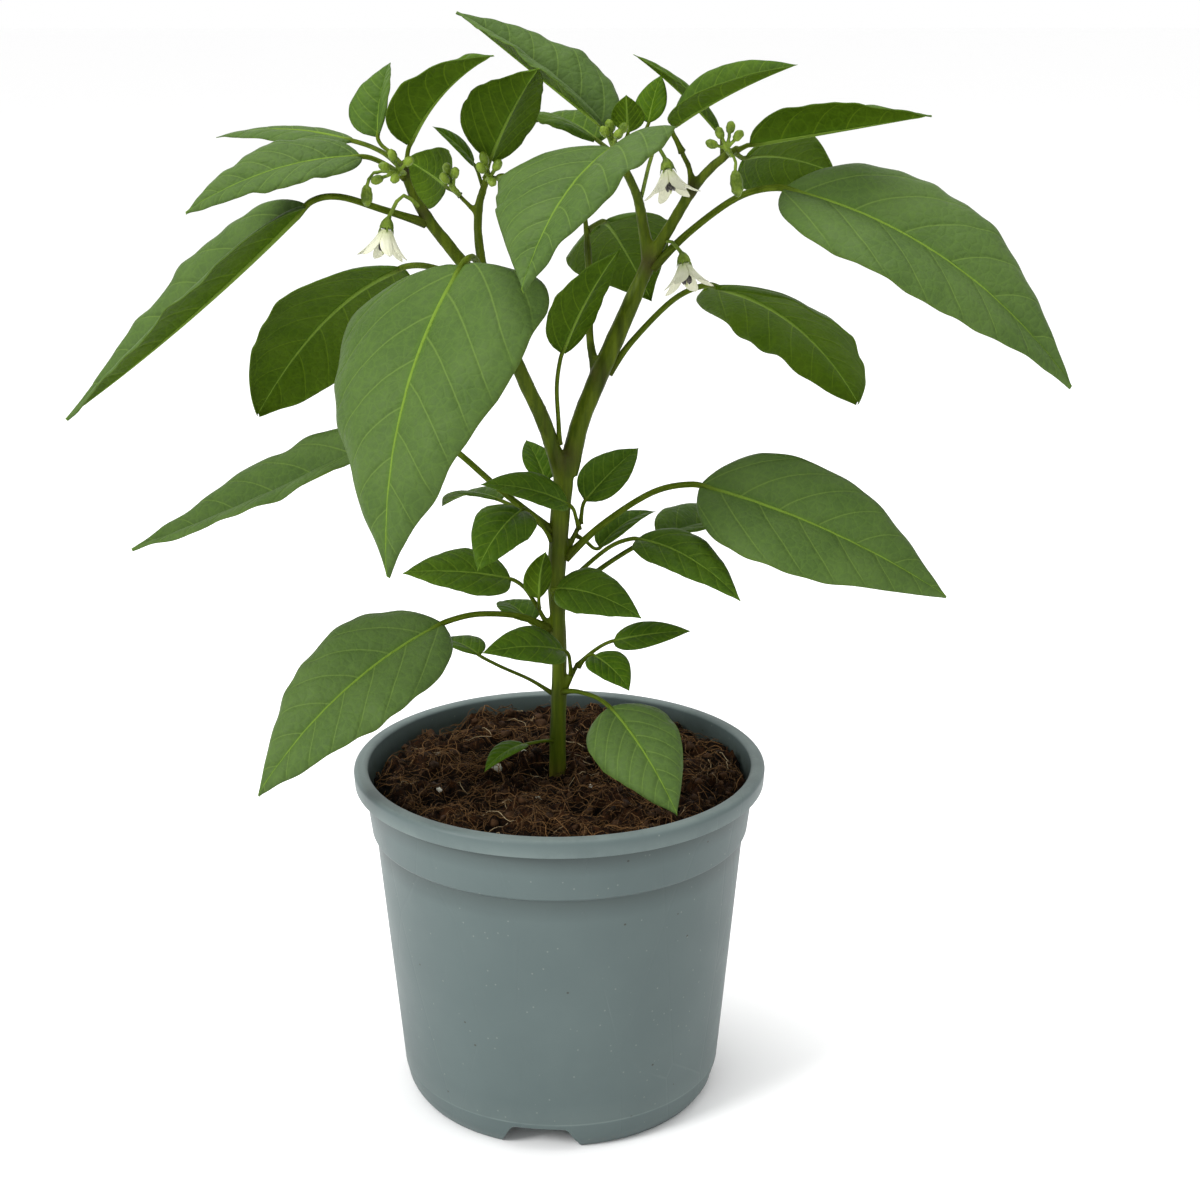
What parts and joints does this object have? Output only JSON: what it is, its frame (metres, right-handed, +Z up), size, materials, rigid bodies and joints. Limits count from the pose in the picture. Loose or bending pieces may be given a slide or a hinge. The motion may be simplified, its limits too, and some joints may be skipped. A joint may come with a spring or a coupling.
{
  "type": "potted sweet pepper plant",
  "caption": "Young sweet pepper plant with forked stems, pointed drooping leaves, small white flowers and buds, growing in a tapered plastic pot.",
  "frame": {"origin": "on the pot's axis, in the plane of its foot, midway across the leaves' spread to within a few millimetres", "axes": "+Z up along the pot's axis, -Y towards the side where the largest leaf hangs, +X to the right seen from there"},
  "size_m": [0.378, 0.1997, 0.443],
  "materials": {
    "pot": "satin grey-blue moulded polypropylene",
    "potting_mix": "damp peat and coconut fibre with a few perlite grains",
    "stem": "satin green stem with purple nodes, browner at the root",
    "leaf": "satin green leaf with pale veins",
    "bud": "satin pale green calyxes and closed buds",
    "petal": "soft creamy white petals",
    "anther": "matt grey-violet anthers"
  },
  "bodies": {
    "root": {"pot": "pot", "potting_mix": "potting_mix", "stem": "stem", "leaf_front_large": "leaf", "leaf_left_drooping": "leaf", "leaf_left_upper": "leaf", "leaf_left_upper_back": "leaf", "leaf_left_outer_upright": "leaf", "leaf_left_outer_back": "leaf", "leaf_left_inner_upright": "leaf", "leaf_left_inner_small": "leaf", "leaf_left_inner_back": "leaf", "leaf_left_back_hanging": "leaf", "leaf_left_middle": "leaf", "leaf_middle_left_back": "leaf", "leaf_top_front": "leaf", "leaf_top_left_raised": "leaf", "leaf_top_back": "leaf", "leaf_top_small": "leaf", "leaf_top_right_inner": "leaf", "leaf_top_right_raised": "leaf", "leaf_top_right_back": "leaf", "leaf_right_upper": "leaf", "leaf_right_upper_back": "leaf", "leaf_right_large": "leaf", "leaf_right_back_hanging": "leaf", "leaf_centre_back": "leaf", "leaf_centre_upright": "leaf", "leaf_right_middle": "leaf", "leaf_right_middle_small": "leaf", "leaf_right_middle_back": "leaf", "leaf_shoot_right_top": "leaf", "leaf_shoot_front_top": "leaf", "leaf_shoot_back_top": "leaf", "leaf_shoot_right_back": "leaf", "leaf_shoot_left_front": "leaf", "leaf_shoot_left_outer": "leaf", "leaf_shoot_left_upright": "leaf", "leaf_shoot_front_right": "leaf", "leaf_shoot_left_back": "leaf", "leaf_low_left_large": "leaf", "leaf_low_front": "leaf", "leaf_low_left_back": "leaf", "leaf_low_right": "leaf", "leaf_low_right_small": "leaf", "leaf_low_right_front": "leaf", "leaf_lowest_left": "leaf", "flower_left_calyx": "bud", "flower_left_corolla": "petal", "flower_left_stamens": "anther", "flower_top_calyx": "bud", "flower_top_corolla": "petal", "flower_top_stamens": "anther", "flower_right_calyx": "bud", "flower_right_corolla": "petal", "flower_right_stamens": "anther", "buds_left_outer": "bud", "buds_left_inner": "bud", "buds_top": "bud", "buds_right": "bud"}
  },
  "joints": []
}
